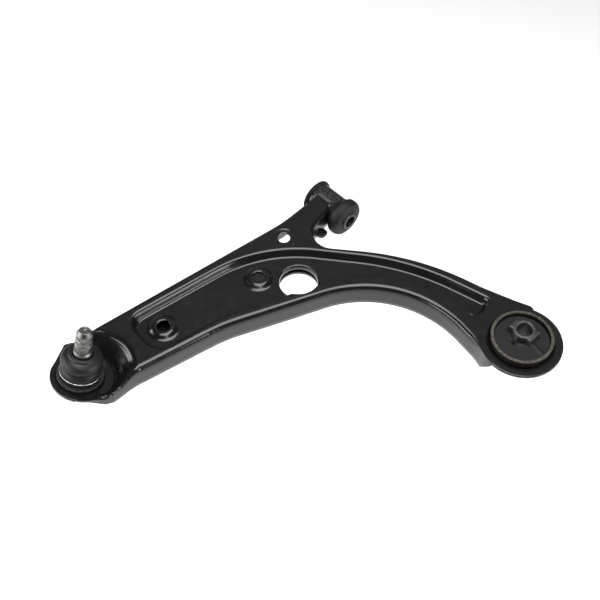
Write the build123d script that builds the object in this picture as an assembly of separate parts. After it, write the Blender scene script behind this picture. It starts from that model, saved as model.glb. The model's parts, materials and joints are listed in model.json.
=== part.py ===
"""Front lower control arm of a small car: a pressed steel arm with a front bush whose axis lies along
the car, a rear bush that stands upright and a press-in ball joint.

Frame: the origin is the centre of the front bush, +X runs back along its axis to the rear bush,
+Z is up along the rear bush, and the ball joint lies out along -Y.  All sizes are in millimetres.
"""
import math
import os

from build123d import *

# ---- pressed arm -------------------------------------------------------------------------------
WEB_TOP = 14.5            # upper face of the rim of the pressing
FLANGE_FOOT = -8.2        # lower edge of the side flanges
SHEET = 2.5               # sheet thickness of both pressings
BEND = 5.0                # outer bend radius, web to side flange
RECESS_DEPTH = 7.0
RECESS_DRAFT = 18.0       # degrees from the vertical
RECESS_FLOOR = WEB_TOP - RECESS_DEPTH
LOWER_PLATE_TOP = -3.8
PLATE_GAP = 0.2           # between the lower plate's edge and the flanges
FLANGE_RISE = [(219.0, FLANGE_FOOT), (231.0, 9.5)]   # the flanges taper up into the rear ring: (x, z)

# Corners of the channel's outline and of its recess: (x, y, corner radius)
ARM_OUTLINE = [
    (-40.5, -284, 6), (-12.5, -57, 130), (-15, 1, 6), (5, 1, 6), (19, -64, 19), (105, 7, 230),
    (172, 23.5, 120), (221, 39.5, 6), (231, -37.5, 6), (210, -30.4, 60), (108.5, -14, 101),
    (42, -176, 150), (23.5, -268, 60), (23.5, -292, 8), (12, -300, 6),
]
RECESS_OUTLINE = [
    (-25.5, -238, 15), (-5, -90.5, 130), (105, -3.5, 220), (187.5, 16.5, 6), (194, -10.5, 11),
    (99.5, -0.5, 114.5), (33, -171, 150), (22, -240, 19),
]

# The lower plate stops short of the neck
NECK_OPENING = [(-60, -80, 1), (8, -80, 10), (16, -58, 10), (34, -34, 5), (34, 40, 1), (-60, 40, 1)]

# ---- holes and bosses of the web -----------------------------------------------------------------
BOSSES = [(1.5, -214.8), (19.6, -116.1)]
BOSS_FOOT_RADIUS = 14.3
BOSS_TOP_RADIUS = 9.0
BOSS_HEIGHT = 3.0
BOSS_HOLE_RADIUS = 6.0
NECK_HOLE = (4.0, -69.1)
NECK_HOLE_RADIUS = 5.9
BIG_HOLE = (47.6, -91.7)
BIG_HOLE_RADIUS = 18.0
BIG_HOLE_ROLL = 1.9       # the rolled edge widens the hole by this at the top
BIG_HOLE_COLLAR = 5.0     # depth of the collar below the recess floor
LOWER_HOLE_RADIUS = 18.4
LOWER_COLLAR = 4.0        # the lower plate's own collar turns up to meet the upper one
DIMPLE_FOOT = 17.0

GUSSET_OUTLINE = [
    (-10, -46, 4), (-12.5, -2, 3), (7.2, -2, 1), (7.2, -19.6, 1.5), (15.5, -19.6, 3), (16.5, -29, 5),
    (9.5, -31, 3), (9.5, -46, 3),
]

# ---- welds ---------------------------------------------------------------------------------------
WELD_RADIUS = 2.2
NECK_SIDES = (-14.6, 4.6)             # where the neck's flanges meet the eye
BEAD_SWEEP = (22, 88)     # degrees from the top of the eye: start and length of each bead
SEAM_WIDTH = 2.2
SEAM_HEIGHT = 1.4
SEAM_LENGTH = 26.0
SEAM_STITCHES = [0.03, 0.11, 0.34, 0.42, 0.60, 0.68, 0.76, 0.84]

# ---- rear bush, upright --------------------------------------------------------------------------
REAR_X = 234.0
RING_RADIUS = 36.9
RING_ROLL = 3.7
REAR_COLLAR_DEPTH = 11.0
UNDER_RING_RADIUS = 34.6  # the second ring, welded on underneath
UNDER_RING_COLLAR = 31.4
UNDER_RING_FOOT = 5.0
CAN_RADIUS = 27.0
CAN_WALL = 2.0
CAN_TOP, CAN_FOOT = 21.5, -1.5
CAN_LIP = 0.6
PRESS_GAP = 0.05          # drawn gap of a pressed or bonded round joint
REAR_RUBBER_TOP, REAR_RUBBER_FOOT = 16.1, 3.9
REAR_CORE = (231.2, 6.0)  # the core sits off the can's centre, towards the car
REAR_CORE_SIZE = (24.0, 14.4)
REAR_CORE_CORNER = 1.6
REAR_CORE_TOP, REAR_CORE_FOOT = 24.6, -4.6
REAR_CORE_RADIUS = 10.5
REAR_RIB_WIDTH = 4.0
REAR_RIB_REACH = 3.4      # of each rubber rib beyond the core
REAR_RIB_DROP = 1.6       # below the core's top
REAR_BORE_RADIUS = 6.6

# ---- front bush, lying along X -------------------------------------------------------------------
EYE_RADIUS = 15.3
EYE_WALL = 2.8
EYE_START, EYE_END = -18.8, 8.0
FRONT_CAN_WALL = 1.5
SLEEVE_RADIUS = 8.6
FRONT_BORE_RADIUS = 6.2
SLEEVE_HALF_LENGTH = 25.8
FRONT_RUBBER_GAP = 0.1    # between the rubber's flanges and the ends of the eye
FRONT_FLANGE = [          # ridged flange ahead of the eye, as radius and place along X
    (12.5, -23.4), (16.9, -22.6), (17.4, -21.8), (16.6, -21.3), (17.4, -20.8), (17.4, -19.6),
]
BUFFER = [                # deep buffer behind the eye
    (15.6, 9.2), (17.0, 11.4), (18.8, 13.4), (19.0, 15.0), (19.0, 18.4), (18.4, 20.4), (17.0, 22.4),
    (12.0, 24.0),
]
FRONT_RUBBER_ENDS = (-24.0, 24.4)

# ---- ball joint ----------------------------------------------------------------------------------
BALL_SEAT_CENTRE = (-12.2, -297.5, 3.0)   # where the joint's axis meets the platform's upper face
KINGPIN_LEAN = 16.3       # degrees, top towards the car
CASTER_LEAN = 2.3         # degrees, top towards the rear
PLATFORM_RADIUS = 27.8
PLATFORM_SHIFT = (1.46, 1.59)             # of the platform's centre from the joint's axis
# Corners of the platform that reach out past the circle, to the front and to the near flange
PLATFORM_EARS = [
    [(-22.8, -15.1, 0.5), (-38.3, 7.5, 4), (-36.5, 15.5, 4), (-26, 24, 1), (-2, 2, 0.5)],
    [(18, -20.2, 1), (26.6, -8.4, 4), (32.2, 0.5, 3), (32.6, 9, 1), (18, 9, 1)],
]
SLOPE_TOP = (-5.7, -290.7, 37.5)           # centre and radius of the wall's upper edge, in the web
SLOPE_SPREAD = 0.47       # growth of the wall's radius per unit of depth into the sheet
PLATFORM_ROLL = 3.0
PLATFORM_COLLAR = 8.0
HOUSING_RADIUS = 19.0
SOCKET_RADIUS = 13.7      # inside of the housing
SOCKET_CRIMP = 11.8       # the foot of the housing is rolled in under the cover to this radius
BALL_RADIUS = 11.5
BALL_DEPTH = 4.5          # ball centre below the platform's upper face
BALL_FLAT = -13.6         # height of the flat under the ball
SEAT_TOP, SEAT_FOOT = 2.6, -14.0
COVER_TOP, COVER_FOOT = -15.8, -17.0
SPRING_SECTION = [(8.0, -15.1), (8.0, -14.1), (13.4, -14.7), (13.4, -15.7)]
CIRCLIP_FOOT, CIRCLIP_TOP = 0.95, 2.3
CIRCLIP_RADIUS = 20.2
CIRCLIP_SEAT = 17.6       # bottom of the housing's groove
CIRCLIP_EAR = (4.4, 2.1, 1.1)              # offset from the gap, radius and hole radius of each ear
CLIP_GAP = 5.0
STUD_TOP = 58.5
STUD_RADIUS = 7.5
STUD_TIP_RADIUS = 6.9
STUD_NECK_RADIUS = 6.4
STUD_SHANK = [
    (0, -BALL_DEPTH), (STUD_NECK_RADIUS, -BALL_DEPTH), (STUD_NECK_RADIUS, 23.0), (STUD_RADIUS, 28.5),
    (STUD_RADIUS + 0.6, 31.0), (STUD_RADIUS + 0.6, 33.2), (STUD_RADIUS - 0.6, 34.6),
    (STUD_RADIUS, 36.0), (STUD_RADIUS, 43.6), (STUD_RADIUS - 0.4, 44.3), (STUD_RADIUS - 0.35, 48.6),
    (STUD_TIP_RADIUS - 0.1, 50.0), (STUD_TIP_RADIUS, 54.6), (STUD_TIP_RADIUS - 1.9, STUD_TOP - 0.6),
    (STUD_TIP_RADIUS - 2.3, STUD_TOP), (1.4, STUD_TOP), (0, STUD_TOP - 1.2),
]
CLIP_GAP_ANGLE = 176.0    # of the circlip's gap about the ball joint's axis
HOUSING_OUTSIDE = [
    (SOCKET_CRIMP, -18.0), (13.5, -18.0), (14.6, -16.8), (16.8, -14.0), (17.6, -12.4), (20.2, -9.6),
    (20.4, -8.6), (HOUSING_RADIUS, -8.6), (HOUSING_RADIUS, CIRCLIP_FOOT - 0.05),
    (CIRCLIP_SEAT, CIRCLIP_FOOT - 0.05), (CIRCLIP_SEAT, CIRCLIP_TOP + 0.1),
    (18.6, CIRCLIP_TOP + 0.1), (18.6, 4.2), (16.2, 4.2), (16.2, 8.6), (16.9, 9.2), (16.9, 10.2),
]
HOUSING_INSIDE = [
    (15.4, 10.6), (12.6, 3.4), (SOCKET_RADIUS, 2.8), (SOCKET_RADIUS, COVER_FOOT - 0.1),
    (SOCKET_CRIMP, COVER_FOOT - 0.1),
]
SEAT_MOUTH = (10.6, 13.2, -1.0, 4.0)       # cone that lets the neck swing: radii and heights
SEAT_WELL = (5.0, 6.0)                     # radius and depth of the grease well under the ball
BOOT_CUFF_RING = (17.95, 8.6, 0.5)         # radius, height and wire of the lower tension ring
BOOT_NECK_RING = (11.05, 29.15, 0.5)
BOOT_OUTSIDE = [
    (17.4, 4.4), (17.4, 9.2), (18.1, 9.9), (18.0, 12.4), (17.4, 15.8), (15.9, 17.8), (15.9, 18.8),
    (17.6, 19.6), (18.0, 21.0), (17.9, 23.2), (17.0, 25.8), (14.8, 27.6), (12.2, 28.5), (10.5, 28.6),
    (10.5, 29.7), (10.8, 30.1), (9.4, 30.8),
]
BOOT_INSIDE = [
    (8.7, 30.6), (8.7, 27.6), (11.4, 26.5), (13.9, 25.6), (15.6, 24.2), (16.2, 22.6), (15.9, 21.2),
    (14.3, 19.8), (14.2, 17.0), (15.6, 14.6), (16.2, 11.6), (17.0, 10.4), (17.0, 9.2), (16.3, 8.5),
    (16.3, 4.4),
]

PARTS = "parts"


def write(name, shape):
    """Write one node."""
    solids = shape.solids() if hasattr(shape, "solids") else [s for p in shape for s in p.solids()]
    node = Compound(children=list(solids)) if len(solids) > 1 else solids[0]
    export_step(node, f"{PARTS}/{name}.step")


def moved_outline(corners, distance):
    """Corners of the parallel outline, distance outside the given anticlockwise or clockwise one."""
    count = len(corners)
    area = sum(
        corners[i - 1][0] * corners[i][1] - corners[i][0] * corners[i - 1][1] for i in range(count)
    )
    outward = distance if area > 0 else -distance
    moved = []
    for i, (x, y, radius) in enumerate(corners):
        before, after = corners[i - 1], corners[(i + 1) % count]
        in_x, in_y = x - before[0], y - before[1]
        out_x, out_y = after[0] - x, after[1] - y
        in_length, out_length = math.hypot(in_x, in_y), math.hypot(out_x, out_y)
        in_x, in_y, out_x, out_y = in_x / in_length, in_y / in_length, out_x / out_length, out_y / out_length
        turn = in_x * out_y - in_y * out_x
        along = (1 - (in_x * out_x + in_y * out_y)) / turn
        grown = radius + outward * math.copysign(1, turn)
        moved.append((x + outward * (in_y + along * in_x), y + outward * (-in_x + along * in_y), grown))
    return moved


def rounded_outline(corners):
    """Closed face through the given corners, each with its own radius."""
    points = [(x, y) for x, y, _ in corners]
    radii = [r for _, _, r in corners]
    return make_face(FilletPolyline(*points, radius=radii, close=True))


def prism(face, low, high):
    return Pos(0, 0, low) * extrude(face, high - low)


def ring(outer, inner, low, high):
    """Tube about the local Z axis."""
    body = Pos(0, 0, (low + high) / 2) * Cylinder(outer, high - low)
    return body - Pos(0, 0, (low + high) / 2) * Cylinder(inner, high - low)


def spun(points):
    """Solid turned about the local Z axis from (radius, height) corners."""
    return revolve(make_face(Polyline(*[(r, 0, z) for r, z in points], close=True)), Axis.Z)


def about_x(part):
    """Turn a part made about Z so that its axis lies along +X."""
    return Rot(0, 90, 0) * part


def cone_cut(low_radius, high_radius, low, high):
    return spun([(0, low), (low_radius, low), (high_radius, high), (0, high)])


BALL_FRAME = Pos(*BALL_SEAT_CENTRE) * Rot(-KINGPIN_LEAN, CASTER_LEAN, 0)
PLATFORM_FRAME = BALL_FRAME * Pos(*PLATFORM_SHIFT)
REAR_FRAME = Pos(REAR_X, 0, 0)


# ---- upper pressing ------------------------------------------------------------------------------
def slope_space(shift):
    """Space above the ball joint platform and its wall, moved down into the sheet by shift."""
    x, y, radius = SLOPE_TOP
    spread = shift * SLOPE_SPREAD
    foot = PLATFORM_FRAME * Pos(0, 0, -shift) * Circle(PLATFORM_RADIUS + spread)
    edge = Pos(x, y, WEB_TOP - shift) * Circle(radius + spread)
    return loft([foot.face(), edge.face()], ruled=True) + extrude(edge, 60)


def recess(shift):
    """Space of the long recess, moved outwards into the sheet by shift."""
    face = rounded_outline(moved_outline(RECESS_OUTLINE, shift))
    return extrude(Pos(0, 0, WEB_TOP - shift) * face, -RECESS_DEPTH, taper=RECESS_DRAFT)


def boss(shift):
    """Raised round boss, its surface moved down by shift."""
    base = RECESS_FLOOR - shift
    return cone_cut(BOSS_FOOT_RADIUS, BOSS_TOP_RADIUS, base - 0.01, base + BOSS_HEIGHT)


def channel_block(inset):
    """Outer form of the channel, or its hollow when inset by the sheet."""
    face = rounded_outline(ARM_OUTLINE)
    if inset:
        face = offset(face, -inset)
    low = FLANGE_FOOT - (10 if inset else 0)
    block = prism(face, low, WEB_TOP - inset)
    rim = block.edges().group_by(Axis.Z)[-1]
    return fillet(rim, BEND - inset)


def upper_pressing():
    block = channel_block(0) - slope_space(0) - recess(0)
    hollow = channel_block(SHEET) - slope_space(SHEET) - recess(SHEET)
    for x, y in BOSSES:
        block += Pos(x, y, 0) * boss(0)
        hollow += Pos(x, y, 0) * boss(SHEET)
    shell = block - hollow
    corner = (FLANGE_RISE[1][0], 0, FLANGE_RISE[0][1] - 1)
    rise = make_face(Polyline(*[(x, 0, z) for x, z in FLANGE_RISE], corner, close=True))
    shell -= Pos(0, 60, 0) * extrude(rise, 120, dir=(0, -1, 0))

    # the channel stops short of the rear ring and of the ball joint platform
    shell -= REAR_FRAME * Pos(0, 0, WEB_TOP - SHEET - 30) * Cylinder(RING_RADIUS, 60)
    shell -= REAR_FRAME * Cylinder(RING_RADIUS - 0.6, 60)
    shell -= PLATFORM_FRAME * Pos(0, 0, -SHEET - 20) * Cylinder(PLATFORM_RADIUS - 0.5, 40)
    shell += REAR_FRAME * ring(RING_RADIUS, CAN_RADIUS, WEB_TOP - SHEET, WEB_TOP)
    platform = PLATFORM_FRAME * Pos(0, 0, -SHEET / 2) * Cylinder(PLATFORM_RADIUS, SHEET)
    for ear in PLATFORM_EARS:
        platform += PLATFORM_FRAME * prism(rounded_outline(ear), -SHEET, 0)
    shell += platform - BALL_FRAME * Cylinder(HOUSING_RADIUS + 1, 30)

    # collars, each rolled down from the sheet round the hole that it lines
    shell = rolled_collar(
        shell, REAR_FRAME * Pos(0, 0, WEB_TOP), CAN_RADIUS + PRESS_GAP, RING_ROLL, REAR_COLLAR_DEPTH
    )
    shell = rolled_collar(
        shell, BALL_FRAME, HOUSING_RADIUS + PRESS_GAP, PLATFORM_ROLL, PLATFORM_COLLAR
    )
    shell = rolled_collar(
        shell, Pos(*BIG_HOLE, RECESS_FLOOR), BIG_HOLE_RADIUS, BIG_HOLE_ROLL, BIG_HOLE_COLLAR
    )

    for x, y in BOSSES:
        shell -= Pos(x, y, RECESS_FLOOR) * Cylinder(BOSS_HOLE_RADIUS, 20)
    shell -= Pos(*NECK_HOLE, WEB_TOP) * Cylinder(NECK_HOLE_RADIUS, 20)
    shell -= about_x(Cylinder(EYE_RADIUS, 120))
    return max(shell.solids(), key=lambda s: s.volume)


def rolled_collar(sheet, frame, radius, roll, depth):
    """Open a round hole in sheet and line it with a collar that rolls down from the upper face."""
    outer = radius + roll
    opened = sheet - frame * Pos(0, 0, -depth / 2) * Cylinder(outer, depth * 3)
    section = make_face(
        [
            Line((radius, 0, -depth), (radius, 0, -roll)),
            ThreePointArc(
                (radius, 0, -roll),
                (outer - roll * math.cos(math.pi / 4), 0, -roll + roll * math.sin(math.pi / 4)),
                (outer, 0, 0),
            ),
            Line((outer, 0, 0), (outer + 0.01, 0, 0)),
            Line((outer + 0.01, 0, 0), (outer + 0.01, 0, -SHEET)),
            Line((outer + 0.01, 0, -SHEET), (radius + SHEET, 0, -SHEET)),
            Line((radius + SHEET, 0, -SHEET), (radius + SHEET, 0, -depth)),
            Line((radius + SHEET, 0, -depth), (radius, 0, -depth)),
        ]
    )
    return opened + frame * revolve(section, Axis.Z)


# ---- lower pressing and welded-on pieces ---------------------------------------------------------
def lower_plate():
    """Closing plate between the flanges, dimpled up to meet the inner boss from below."""
    face = rounded_outline(moved_outline(ARM_OUTLINE, -SHEET - PLATE_GAP))
    plate = prism(face, LOWER_PLATE_TOP - SHEET, LOWER_PLATE_TOP)
    x, y = BOSSES[1]
    dimple_top = RECESS_FLOOR + BOSS_HEIGHT - SHEET - PLATE_GAP
    plate += Pos(x, y, 0) * cone_cut(DIMPLE_FOOT, BOSS_TOP_RADIUS, LOWER_PLATE_TOP - 0.01, dimple_top)
    plate -= Pos(x, y, 0) * cone_cut(
        DIMPLE_FOOT - SHEET, BOSS_TOP_RADIUS - SHEET, LOWER_PLATE_TOP - SHEET, dimple_top - SHEET
    )
    plate -= REAR_FRAME * Cylinder(RING_RADIUS, 60)
    plate -= slope_space(SHEET + 3 * PLATE_GAP)
    plate -= PLATFORM_FRAME * Pos(0, 0, -20) * Cylinder(PLATFORM_RADIUS + 4, 60)
    plate -= prism(rounded_outline(NECK_OPENING), LOWER_PLATE_TOP - 10, LOWER_PLATE_TOP + 10)
    plate = rolled_collar(plate, Pos(*BIG_HOLE, LOWER_PLATE_TOP - SHEET) * Rot(180, 0, 0),
                          LOWER_HOLE_RADIUS, BIG_HOLE_ROLL, LOWER_COLLAR)
    plate -= about_x(Cylinder(EYE_RADIUS + 0.3, 120))
    return max(plate.solids(), key=lambda solid: solid.volume)


def rear_bush_collar():
    """Second ring under the rear ring of the pressing, turned down round its collar."""
    inner = CAN_RADIUS + PRESS_GAP + SHEET + 0.2
    top = WEB_TOP - SHEET - 0.05
    return REAR_FRAME * spun([
        (inner, UNDER_RING_FOOT), (inner, top), (UNDER_RING_RADIUS, top), (UNDER_RING_RADIUS, top - SHEET),
        (UNDER_RING_COLLAR, top - SHEET), (UNDER_RING_COLLAR, UNDER_RING_FOOT),
    ])


def eye_gusset():
    """Small plate that closes the neck under the eye and reaches out behind it as a rounded lug."""
    top = FLANGE_FOOT - 0.1
    plate = prism(rounded_outline(GUSSET_OUTLINE), top - SHEET, top)
    return plate - about_x(Cylinder(EYE_RADIUS + 0.1, 120))


def front_bush_eye():
    return about_x(ring(EYE_RADIUS - 0.05, EYE_RADIUS - EYE_WALL, EYE_START, EYE_END))


def saddle_bead(x, start, sweep):
    """Weld bead that follows the tube round from start degrees before the top."""
    section = Plane(origin=(x, 0, EYE_RADIUS), z_dir=(0, 1, 0)) * Circle(WELD_RADIUS)
    bead = revolve(section, Axis.X, sweep)
    return Rot(start, 0, 0) * bead


def eye_welds(shell, plate):
    """Beads down both flanges of the neck and across its end, where it meets the eye."""
    beads = [saddle_bead(x, *BEAD_SWEEP) for x in NECK_SIDES]
    flat_y = -math.sqrt(EYE_RADIUS**2 - WEB_TOP**2)
    across = NECK_SIDES[1] - NECK_SIDES[0] - 6
    middle = (NECK_SIDES[0] + NECK_SIDES[1]) / 2
    beads.append(Pos(middle, flat_y, WEB_TOP) * about_x(Cylinder(WELD_RADIUS, across)))
    tube = about_x(Cylinder(EYE_RADIUS, 120))
    trimmed = []
    for bead in beads:
        rest = bead - tube - shell - plate
        trimmed.append(max(rest.solids(), key=lambda solid: solid.volume))
    return trimmed


def seam_welds():
    """Stitches of weld under the lower plate, along the inside of the flanges."""
    flange = rounded_outline(moved_outline(ARM_OUTLINE, -SHEET - 0.02))
    plate_edge = rounded_outline(moved_outline(ARM_OUTLINE, -SHEET - SEAM_WIDTH))
    top = LOWER_PLATE_TOP - SHEET - 0.02
    band = prism(flange, top - SEAM_HEIGHT, top) - prism(plate_edge, top - SEAM_HEIGHT, top)
    edge = flange.face().outer_wire()
    stitches = []
    for share in SEAM_STITCHES:
        centre = edge @ share
        bead = band & (Pos(centre.X, centre.Y, top) * Cylinder(SEAM_LENGTH / 2, 10))
        bead -= REAR_FRAME * Cylinder(RING_RADIUS, 60)
        stitches.append(max(bead.solids(), key=lambda solid: solid.volume))
    return stitches


# ---- rear bush -----------------------------------------------------------------------------------
def rear_bush_can():
    inner = CAN_RADIUS - CAN_WALL
    return REAR_FRAME * spun([
        (inner, CAN_FOOT), (CAN_RADIUS - 0.6, CAN_FOOT), (CAN_RADIUS, CAN_FOOT + 1.2),
        (CAN_RADIUS, CAN_TOP - 1.4), (CAN_RADIUS + CAN_LIP, CAN_TOP - 0.7), (CAN_RADIUS + CAN_LIP, CAN_TOP),
        (inner, CAN_TOP),
    ])


def core_outline(gap):
    """Bar with a round middle, grown by gap."""
    length, width = REAR_CORE_SIZE
    bar = RectangleRounded(length + 2 * gap, width + 2 * gap, REAR_CORE_CORNER + gap)
    return Pos(*REAR_CORE) * (bar + Circle(REAR_CORE_RADIUS + gap))


def rear_bush_core():
    core = prism(core_outline(0), REAR_CORE_FOOT, REAR_CORE_TOP)
    return core - Pos(*REAR_CORE) * Cylinder(REAR_BORE_RADIUS, 4 * REAR_CORE_TOP)


def rear_bush_rubber():
    """Rubber between core and can, with a rib up each long side of the core."""
    radius = CAN_RADIUS - CAN_WALL - PRESS_GAP
    middle = (REAR_RUBBER_TOP + REAR_RUBBER_FOOT) / 2
    block = REAR_FRAME * Pos(0, 0, middle) * Cylinder(radius, REAR_RUBBER_TOP - REAR_RUBBER_FOOT)
    rib_height = REAR_CORE_TOP - REAR_RIB_DROP - REAR_RUBBER_TOP
    for side in (-1, 1):
        rib = Box(REAR_RIB_WIDTH, 2 * REAR_RIB_REACH, rib_height + 1)
        block += Pos(*REAR_CORE, REAR_RUBBER_TOP - 1 + (rib_height + 1) / 2) * Pos(
            0, side * REAR_CORE_RADIUS, 0
        ) * rib
    return block - prism(core_outline(PRESS_GAP), REAR_CORE_FOOT, REAR_CORE_TOP)


# ---- front bush ----------------------------------------------------------------------------------
def front_bush_can():
    outer = EYE_RADIUS - EYE_WALL - PRESS_GAP
    return about_x(ring(outer, outer - FRONT_CAN_WALL, EYE_START, EYE_END))


def front_bush_rubber():
    """Bonded rubber with a thin ridged flange in front and a deep buffer behind."""
    bonded = EYE_RADIUS - EYE_WALL - FRONT_CAN_WALL - 2 * PRESS_GAP
    inner = SLEEVE_RADIUS + PRESS_GAP
    front, back = EYE_START - FRONT_RUBBER_GAP, EYE_END + FRONT_RUBBER_GAP
    first, last = FRONT_RUBBER_ENDS
    ridge, buffer = FRONT_FLANGE[-1][0] - 0.8, BUFFER[0][0] - 0.4
    between = [(ridge, front), (bonded, front), (bonded, back), (buffer, back)]
    return about_x(spun([(inner, first), *FRONT_FLANGE, *between, *BUFFER, (inner, last)]))


def front_bush_sleeve():
    return about_x(ring(SLEEVE_RADIUS, FRONT_BORE_RADIUS, -SLEEVE_HALF_LENGTH, SLEEVE_HALF_LENGTH))


# ---- ball joint ----------------------------------------------------------------------------------
def ball_joint_housing():
    """Turned housing: circlip groove and boot spigot above the platform, cover rolled in below."""
    return BALL_FRAME * spun(HOUSING_OUTSIDE + HOUSING_INSIDE)


def ball_joint_seat():
    cup = Pos(0, 0, (SEAT_TOP + SEAT_FOOT) / 2) * Cylinder(SOCKET_RADIUS - 0.1, SEAT_TOP - SEAT_FOOT)
    cup -= Pos(0, 0, -BALL_DEPTH) * Sphere(BALL_RADIUS + 0.05)
    cup -= cone_cut(*SEAT_MOUTH)
    well_radius, well_depth = SEAT_WELL
    return BALL_FRAME * (cup - Pos(0, 0, SEAT_FOOT) * Cylinder(well_radius, well_depth))


def seat_preload_spring():
    """Dished spring washer between the cover and the seat."""
    return BALL_FRAME * spun(SPRING_SECTION)


def ball_joint_cover():
    radius, middle = SOCKET_RADIUS - 0.1, (COVER_TOP + COVER_FOOT) / 2
    return BALL_FRAME * Pos(0, 0, middle) * Cylinder(radius, COVER_TOP - COVER_FOOT)


def ball_joint_circlip():
    inner = CIRCLIP_SEAT + 0.1
    offset_y, ear_radius, ear_hole = CIRCLIP_EAR
    clip = ring(CIRCLIP_RADIUS, inner, CIRCLIP_FOOT, CIRCLIP_TOP)
    middle = (CIRCLIP_FOOT + CIRCLIP_TOP) / 2
    thick = CIRCLIP_TOP - CIRCLIP_FOOT
    clip -= Rot(0, 0, CLIP_GAP_ANGLE) * Pos(20, 0, middle) * Box(12, CLIP_GAP, 6)
    for side in (-1, 1):
        ear = Pos(CIRCLIP_RADIUS + 0.2, side * offset_y, middle)
        clip += Rot(0, 0, CLIP_GAP_ANGLE) * ear * Cylinder(ear_radius, thick)
        clip -= Rot(0, 0, CLIP_GAP_ANGLE) * ear * Cylinder(ear_hole, 4)
    clip -= Cylinder(inner, 20)
    return BALL_FRAME * clip


def ball_stud():
    """Ball and shank in one, with a pinch groove and a centre mark in its end."""
    shank = spun(STUD_SHANK)
    ball = Pos(0, 0, -BALL_DEPTH) * Sphere(BALL_RADIUS)
    ball -= Pos(0, 0, BALL_FLAT - 5) * Cylinder(BALL_RADIUS, 10)
    return BALL_FRAME * (ball + shank)


def dust_boot():
    return BALL_FRAME * spun(BOOT_OUTSIDE + BOOT_INSIDE)


def round_wire(radius, height, wire):
    return BALL_FRAME * Pos(0, 0, height) * Torus(radius, wire)


def main():
    os.makedirs(PARTS, exist_ok=True)
    shell = upper_pressing()
    plate = lower_plate()
    write("upper_shell", shell)
    write("lower_plate", plate)
    write("rear_bush_collar", rear_bush_collar())
    write("eye_gusset", eye_gusset())
    write("front_bush_eye", front_bush_eye())
    write("eye_weld_beads", eye_welds(shell, plate))
    write("seam_welds", seam_welds())
    write("rear_bush_can", rear_bush_can())
    write("rear_bush_core", rear_bush_core())
    write("rear_bush_rubber", rear_bush_rubber())
    write("front_bush_can", front_bush_can())
    write("front_bush_rubber", front_bush_rubber())
    write("front_bush_sleeve", front_bush_sleeve())
    write("ball_joint_housing", ball_joint_housing())
    write("ball_joint_seat", ball_joint_seat())
    write("seat_preload_spring", seat_preload_spring())
    write("ball_joint_cover", ball_joint_cover())
    write("ball_joint_circlip", ball_joint_circlip())
    write("ball_stud", ball_stud())
    write("dust_boot", dust_boot())
    write("boot_lower_ring", round_wire(*BOOT_CUFF_RING))
    write("boot_upper_ring", round_wire(*BOOT_NECK_RING))


if __name__ == "__main__":
    main()
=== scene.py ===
"""Looks of a pressed steel control arm with two rubber bushes and a ball joint.

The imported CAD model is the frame.  The pressing, the weld beads, the rubbers, the dust boot and the stud are
finer meshes that stand for their CAD nodes; every other node keeps its shape and gets a material.
Sizes below are in millimetres, in the frame of the CAD model: origin at the front bush, +X to the rear
bush, +Z up, the ball joint out along -Y.  Inside the boot, the stud's neck is thinner here than in its CAD
node, so that the tilted stud stays clear of the boot.
"""
import json
import math

import bpy
import bmesh
import numpy as np
from mathutils import Matrix, Vector
from mathutils.geometry import delaunay_2d_cdt
from mathutils.kdtree import KDTree

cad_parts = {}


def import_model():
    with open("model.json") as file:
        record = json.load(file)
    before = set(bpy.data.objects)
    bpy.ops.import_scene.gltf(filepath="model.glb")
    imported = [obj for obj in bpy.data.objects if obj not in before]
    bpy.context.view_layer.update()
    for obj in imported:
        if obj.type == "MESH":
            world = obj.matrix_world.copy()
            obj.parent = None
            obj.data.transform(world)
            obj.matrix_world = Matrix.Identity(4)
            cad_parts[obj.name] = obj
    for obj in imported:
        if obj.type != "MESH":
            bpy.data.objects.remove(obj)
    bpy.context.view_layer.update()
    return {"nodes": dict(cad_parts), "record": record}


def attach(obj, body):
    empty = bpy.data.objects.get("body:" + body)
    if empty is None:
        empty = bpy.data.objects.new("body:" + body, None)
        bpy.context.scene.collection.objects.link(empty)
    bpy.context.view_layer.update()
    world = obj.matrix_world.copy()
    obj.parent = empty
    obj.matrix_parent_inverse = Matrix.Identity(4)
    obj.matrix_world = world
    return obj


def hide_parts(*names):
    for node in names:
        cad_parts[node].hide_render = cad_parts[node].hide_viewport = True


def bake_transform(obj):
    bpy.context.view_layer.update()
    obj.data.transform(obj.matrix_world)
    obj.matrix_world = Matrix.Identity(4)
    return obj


MM = 0.001

# ---- the pressing ---------------------------------------------------------------------------------
WEB_TOP = 14.5
FLANGE_FOOT = -8.2
SHEET = 2.5
BEND = 5.0
FLANGE_RISE = ((219.0, 231.0), 9.5)   # stretch of X where the foot rises into the rear ring, and to what
RECESS_DEPTH = 7.0
RECESS_WALL = 62.0            # degrees from the web
RECESS_TOP_ROUND = 3.6
RECESS_FOOT_ROUND = 3.0
ARM_OUTLINE = [
    (-40.5, -284, 6), (-12.5, -57, 130), (-15, 1, 6), (5, 1, 6), (19, -64, 19), (105, 7, 230),
    (172, 23.5, 120), (221, 39.5, 6), (231, -37.5, 6), (210, -30.4, 60), (108.5, -14, 101),
    (42, -176, 150), (23.5, -268, 60), (23.5, -292, 8), (12, -300, 6),
]
RECESS_OUTLINE = [
    (-25.5, -238, 15), (-5, -90.5, 130), (105, -3.5, 220), (187.5, 16.5, 6), (194, -10.5, 11),
    (99.5, -0.5, 114.5), (33, -171, 150), (22, -240, 19),
]
BOSSES = [(1.5, -214.8), (19.6, -116.1)]
BOSS_FOOT, BOSS_TOP, BOSS_HEIGHT, BOSS_HOLE = 14.9, 8.4, 3.0, 6.0
NECK_HOLE = (4.0, -69.1)
NECK_HOLE_RADIUS = 5.9
NECK_COIN = (9.0, 12.0, 0.45)  # inner and outer radius and depth of the coined ring
BIG_HOLE = (47.6, -91.7)
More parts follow.
